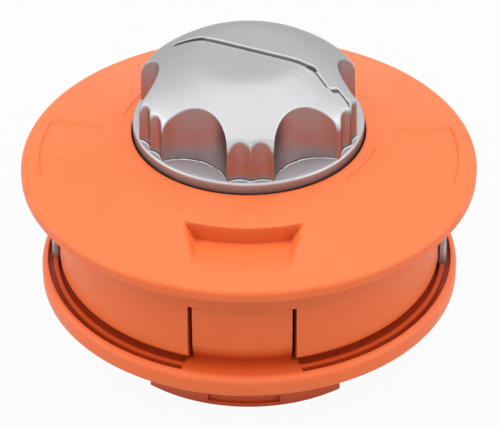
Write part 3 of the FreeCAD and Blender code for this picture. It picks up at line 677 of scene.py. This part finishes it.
# the moulded cover: rings of its section, lowered where the trays and side panels are
cover = dict(
    holeRadius=31.9,
    holeLevel=62.5,
    holeRound=0.25,
    brimRadius=62.5,
    brimLevel=53.4,
    brimWall=3.0,
    trayWall=2.2,
    rimRound=1.5,
    rimFoot=50.1,
    rimFootRound=0.4,
    rimWidth=2.2,
    bandRadius=53.3,
    bandLevel=39.9,
    bandRound=0.5,
    skirtRadius=52.5,
    skirtInner=50.1,
    skirtDraft=0.7,
    skirtFoot=23.2,
    footRound=0.9,
    collarRadius=35.2,
    collarFoot=50.6,
    trayRadius=43.0,
    trayFloor=55.3,
    trayEnd=56.1,
    trayRise=0.045,
    trayDepth=4.8,
    trayWidth=24.6,
    trayDraft=34.0,
    trayPitch=14.0,
    traySoft=1.3,
    trayCornerSoft=0.5,
    trayFootSoft=0.25,
    trayShade=0.72,
    shadeFoot=-0.1,
    shadeEdge=0.4,
    shadeEnd=15.2,
    shadeFade=1.6,
    panelNear=39.5,
    panelFar=57.3,
    panelNearWidth=7.2,
    panelFarWidth=27.2,
    panelDepth=0.6,
    panelSoft=0.55,
    windowHalf=15.8,
    slotHalf=4.05,
    slotTop=32.3,
    tipRoom=51.7,
    hookRoom=52.5,
    hookFoot=42.6,
    hookTop=46.4,
    arrowRadius=35.5,
    arrowHeight=0.32,
    arrowHalf=0.32,
    arrowHead=2.6,
    arrowSpread=0.42,
    arrowSoft=0.3,
    arrows=((-58, -85), (-12, -40), (168, 140), (78, 50)),  # tail and head of each
    columnStep=0.8,
    trayColumns=(14.5, 23, 0.32),  # from, to and step, away from the middle of the feature
    slotColumns=(-4.4, 4.4, 0.3),
    panelColumns=(4.6, 14.6, 0.36),
    ringSteps=(  # from, to and step of the rings over the brim
        (32.9, 34.2, 0.45),
        (34.3, 37.0, 0.18),
        (37.4, 39.0, 0.8),
        (39.05, 39.95, 0.18),
        (40.4, 41.6, 0.5),
        (41.8, 44.7, 0.15),
        (45.3, 56.6, 1.0),
        (56.8, 57.9, 0.18),
        (58.5, 60.8, 0.75),
    ),
    undersideRings=(47.0, 45.0, 44.0, 43.4, 42.6, 42.0, 40.0),
    undersideShift=0.6,
)


# signed angle from a middle
def near(angles, middle):
    return (angles - middle + 180) % 360 - 180


# more columns where something changes round the axis, and pairs of them at upright walls
def coverColumns():
    c = cover
    spread = [np.arange(-180, 180, c["columnStep"])]
    for middle in (-90, 90):
        for side in (-1, 1):
            spread.append(middle + side * np.arange(*c["trayColumns"]))
    for middle in (0, 180):
        spread.append(middle + np.arange(*c["slotColumns"]))
        for side in (-1, 1):
            spread.append(middle + side * np.arange(*c["panelColumns"]))
    for tail, head in c["arrows"]:
        spread.append(np.linspace(head, head + np.sign(tail - head) * 5, 16))
    pairs = np.array([-1e-5, 1e-5])
    slotAngle = math.degrees(math.asin(c["slotHalf"] / c["skirtRadius"]))
    for middles, half in (((-90, 90), c["windowHalf"]), ((0, 180), slotAngle)):
        for middle in middles:
            for side in (-1, 1):
                spread.append(middle + side * half + pairs)
    return np.unique(np.round((np.concatenate(spread) + 180) % 360 - 180, 6))


# raised curved arrows that show which way the knob is turned
def arrowRise(angles, radius):
    c = cover
    rise = np.zeros_like(angles)
    for tail, head in c["arrows"]:
        back = np.radians((angles - head) * np.sign(tail - head)) * radius
        half = np.where(back < c["arrowHead"], back * c["arrowSpread"], c["arrowHalf"])
        within = (back > 0) & (back < math.radians(abs(tail - head)) * radius)
        inside = np.clip((half - abs(radius - c["arrowRadius"])) / c["arrowSoft"] + 0.5, 0, 1)
        rise = np.maximum(rise, np.where(within, inside, 0))
    return rise * c["arrowHeight"]


def brimSlope():
    return (cover["holeLevel"] - cover["brimLevel"]) / (cover["brimRadius"] - cover["holeRadius"])


# the height of the brim's plain cone
def coneLevel(radius):
    return cover["holeLevel"] - (radius - cover["holeRadius"]) * brimSlope()


# how high a tray's inner wall and side walls stand over its floor
def trayWalls(across, radius):
    c = cover
    innerWall = (c["trayRadius"] - radius) * c["trayPitch"]
    sideWall = (across - c["trayWidth"] / 2) / math.tan(math.radians(c["trayDraft"]))
    return innerWall, sideWall


# painted shade on the inner wall of a tray, which fades towards its upper corners
def trayShade(angles, radius):
    c = cover
    across = np.abs(radius * np.cos(np.radians(angles)))
    innerWall, sideWall = trayWalls(across, radius)
    onWall = c["shadeFoot"] < innerWall < c["trayDepth"]
    corner = np.clip((innerWall - sideWall) / c["shadeEdge"] + 0.5, 0, 1)
    fade = np.clip((c["shadeEnd"] - across) / c["shadeFade"], 0, 1)
    return corner * fade * onWall * c["trayShade"]


# the height of the brim's top, with its trays at front and back and its panels at the sides
def brimTop(angles, radius):
    c = cover
    cone = np.full_like(angles, coneLevel(radius))
    x, y = (np.abs(radius * turn(np.radians(angles))) for turn in (np.cos, np.sin))
    innerWall, sideWall = trayWalls(x, radius)
    floor = c["trayFloor"] - (c["trayEnd"] - radius) * c["trayRise"]
    walls = softMax(innerWall, sideWall, c["trayCornerSoft"])
    tray = floor + softMax(walls, np.zeros_like(x), c["trayFootSoft"])
    widths = (c["panelNearWidth"] / 2, c["panelFarWidth"] / 2)
    half = np.interp(radius, (c["panelNear"], c["panelFar"]), widths)
    inside = np.minimum(np.minimum(radius - c["panelNear"], c["panelFar"] - radius), half - y)
    share = np.clip(inside / c["panelSoft"] + 0.5, 0, 1)
    panel = np.where(x > y, share * share * (3 - 2 * share), 0) * c["panelDepth"]
    return softMin(cone, tray, c["traySoft"]) - panel + arrowRise(angles, radius)


# the lowest point of the skirt's wall: its foot, a latch window's top or an eyelet slot's arch
def skirtEnd(angles):
    c = cover
    inWindow = np.abs(near(np.abs(angles), 90)) < c["windowHalf"]
    across = c["skirtRadius"] * np.sin(np.radians(angles))
    arch = c["slotTop"] + np.sqrt(np.maximum(c["slotHalf"] ** 2 - across**2, 0))
    foot = np.where(np.abs(across) < c["slotHalf"], arch, c["skirtFoot"])
    return np.where(inWindow, c["bandLevel"], foot), inWindow


def makeCover():
    c = cover
    angles = coverColumns()
    direction = np.stack([np.cos(np.radians(angles)), np.sin(np.radians(angles))], 1)
    rings, shades = [], []

    def addRing(radius, height, shade=0.0):
        radius, height = (np.broadcast_to(value, angles.shape)[:, None] for value in (radius, height))
        rings.append(np.concatenate([direction * radius, height], 1))
        shades.append(np.broadcast_to(shade, angles.shape))

    addRing(c["holeRadius"], c["collarFoot"])
    holeEdge = (c["holeRadius"] + c["holeRound"], c["holeLevel"] - c["holeRound"] * 1.25)
    for reach, height in roundPoints(*holeEdge, c["holeRound"], 180, 100, 5):
        addRing(reach, height)
    for radius in np.concatenate([np.arange(*step) for step in c["ringSteps"]]):
        addRing(radius, brimTop(angles, radius), trayShade(angles, radius))
    # the rim, the brim's underside and the band below it
    slope = brimSlope()
    edge = c["brimRadius"] - c["rimRound"]
    edgeLevel = c["brimLevel"] + c["rimRound"] * (slope - math.hypot(1, slope))
    footEdge = c["brimRadius"] - c["rimFootRound"]
    outline = roundPoints(edge, edgeLevel, c["rimRound"], 90 - math.degrees(math.atan(slope)), 0, 8)
    outline += roundPoints(footEdge, c["rimFoot"] + c["rimFootRound"], c["rimFootRound"], 0, -90, 6)
    bandTop = coneLevel(c["bandRadius"]) - c["brimWall"]
    outline += [(c["brimRadius"] - c["rimWidth"], c["rimFoot"]), (c["bandRadius"], bandTop)]
    bandEdge = c["bandRadius"] - c["bandRound"]
    outline += roundPoints(bandEdge, c["bandLevel"] + c["bandRound"], c["bandRound"], 0, -90, 5)
    for reach, height in outline:
        addRing(reach, height)
    # the skirt's outside, its rounded foot and its inside with the latch windows
    end, inWindow = skirtEnd(angles)
    room = np.minimum(c["footRound"], (c["bandLevel"] - end) / 3)
    draft = c["skirtDraft"] / (c["bandLevel"] - c["skirtFoot"])
    for share in (0.0, 0.5, 0.9):
        height = c["bandLevel"] + (end + room - c["bandLevel"]) * share
        addRing(c["skirtRadius"] + (c["bandLevel"] - height) * draft, height)
    footRadius = c["skirtRadius"] + (c["bandLevel"] - end) * draft
    for reach, height in roundPoints(-1, 1, 1, 0, -90, 6):
        addRing(footRadius + room * reach, end + room * height)
    innerWall = np.where(inWindow, c["tipRoom"], c["skirtInner"])
    hookWall = np.where(inWindow, c["hookRoom"], c["skirtInner"])
    addRing(innerWall, end)
    addRing(innerWall, c["hookFoot"])
    addRing(hookWall, c["hookFoot"])
    addRing(hookWall, c["hookTop"])
    addRing(c["skirtInner"], c["hookTop"])
    # the roof inside, which keeps its wall below the trays
    for radius in (c["skirtInner"], *c["undersideRings"], c["collarRadius"]):
        plain = coneLevel(radius) - c["brimWall"]
        underTray = brimTop(angles, radius + c["undersideShift"]) - c["trayWall"]
        addRing(radius, np.minimum(plain, underTray))
    addRing(c["collarRadius"], c["collarFoot"])
    piece = ringMesh("coverShell", rings, loop=True)
    addLayer(piece, "shade", shades)
    tidyMesh(piece.data)
    piece.data.materials.append(coverNylon)
    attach(piece, "casing")
    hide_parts("cover")
    print("cover moulded:", len(angles), "columns,", len(rings), "rings")


makeCover()


studio = dict(
    floorSize=6.0,
    floorGap=0.02 * mm,
    floorColour=(0.38, 0.38, 0.38, 1),
    floorGlow=0.95,
    horizon=0.12,
    zenith=1.4,
)


# 1 where the camera, or a reflection or a clear piece, looks straight at the background
def seenDirectly(paint):
    rays = ("Is Camera Ray", "Is Glossy Ray", "Is Transmission Ray")
    camera, glossy, clear = (paint.node("ShaderNodeLightPath", output=ray) for ray in rays)
    return camera + glossy + clear


def makeFloor():
    half = studio["floorSize"] / 2
    mesh = bpy.data.meshes.new("floor")
    corners = [(-half, -half, 0), (half, -half, 0), (half, half, 0), (-half, half, 0)]
    mesh.from_pydata(corners, [], [(0, 1, 2, 3)])
    floor = bpy.data.objects.new("floor", mesh)
    bpy.context.scene.collection.objects.link(floor)
    floor.location.z = cadBox[0][2] - studio["floorGap"]
    paint = newPaint("paleFloor")
    lit = paint.node("ShaderNodeBsdfDiffuse", {}, {"Color": studio["floorColour"]})
    white = paint.node("ShaderNodeEmission", {}, {"Strength": 1.0})
    share = seenDirectly(paint) * studio["floorGlow"]
    mixed = paint.node("ShaderNodeMixShader", {}, {0: share, 1: lit, 2: white})
    paint.node("ShaderNodeOutputMaterial", {}, {"Surface": mixed})
    floor.data.materials.append(paint.owner)


# soft light that grows from the horizon to the zenith, in front of a white background
def makeWorld():
    world = bpy.data.worlds.new("studio")
    bpy.context.scene.world = world
    paint = Paint(world)
    direction = paint.node("ShaderNodeTexCoord", output="Generated")
    height = paint.node("ShaderNodeSeparateXYZ", {}, {0: direction}, "Z")
    rise = {"Value": height, "To Min": studio["horizon"], "To Max": studio["zenith"]}
    dome = paint.node("ShaderNodeMapRange", {}, rise)
    seen = seenDirectly(paint)
    strength = dome * (1 - seen) + seen
    back = paint.node("ShaderNodeBackground", {}, {"Color": (1, 1, 1, 1), "Strength": strength})
    paint.node("ShaderNodeOutputWorld", {}, {"Surface": back})


lamps = [
    dict(name="overheadBox", place=(0.05, -0.1, 1.2), aim=(0, 0, 0.05), size=(2.4, 2.0), power=11.0),
    dict(name="leftBox", place=(-1.2, -0.15, 0.45), aim=(0, 0, 0.05), size=(1.4, 0.9), power=6.0),
    dict(name="rightBox", place=(1.2, -0.15, 0.45), aim=(0, 0, 0.05), size=(1.4, 0.9), power=5.6),
    dict(name="frontBox", place=(0.0, -1.5, 0.3), aim=(0, 0, 0.04), size=(1.2, 0.5), power=2.0),
]


def makeLamp(settings):
    data = bpy.data.lights.new(settings["name"], "AREA")
    data.shape = "RECTANGLE"
    data.size, data.size_y = settings["size"]
    data.energy = settings["power"]
    lamp = bpy.data.objects.new(settings["name"], data)
    bpy.context.scene.collection.objects.link(lamp)
    lamp.location = settings["place"]
    lamp.rotation_euler = (Vector(settings["aim"]) - lamp.location).to_track_quat("-Z", "Y").to_euler()


view = dict(
    elevation=35.351,
    azimuth=2.2,
    roll=0.258,
    distance=664.3 * mm,
    target=(0, 0, 33.813 * mm),
    focalPixels=2377,
    shiftPixels=0.914,
    imagePixels=500,
    sensor=36,
)


def makeCamera():
    up, around, roll = (math.radians(view[name]) for name in ("elevation", "azimuth", "roll"))
    back = Vector((math.sin(around) * math.cos(up), -math.cos(around) * math.cos(up), math.sin(up)))
    right = Vector((math.cos(around), math.sin(around), 0))
    above = back.cross(right)
    tiltedRight = right * math.cos(roll) - above * math.sin(roll)
    tiltedUp = right * math.sin(roll) + above * math.cos(roll)
    data = bpy.data.cameras.new("camera")
    data.sensor_fit = "HORIZONTAL"
    data.sensor_width = view["sensor"]
    data.lens = view["focalPixels"] * view["sensor"] / view["imagePixels"]
    data.shift_x = view["shiftPixels"] / view["imagePixels"]
    data.clip_start = 0.01
    camera = bpy.data.objects.new("camera", data)
    bpy.context.scene.collection.objects.link(camera)
    turn = Matrix((tiltedRight, tiltedUp, back)).transposed()
    place = Vector(view["target"]) + back * view["distance"]
    camera.matrix_world = Matrix.Translation(place) @ turn.to_4x4()
    bpy.context.scene.camera = camera


makeFloor()
makeWorld()
for settings in lamps:
    makeLamp(settings)
makeCamera()
bpy.context.scene.view_settings.view_transform = "Standard"
print("studio set")
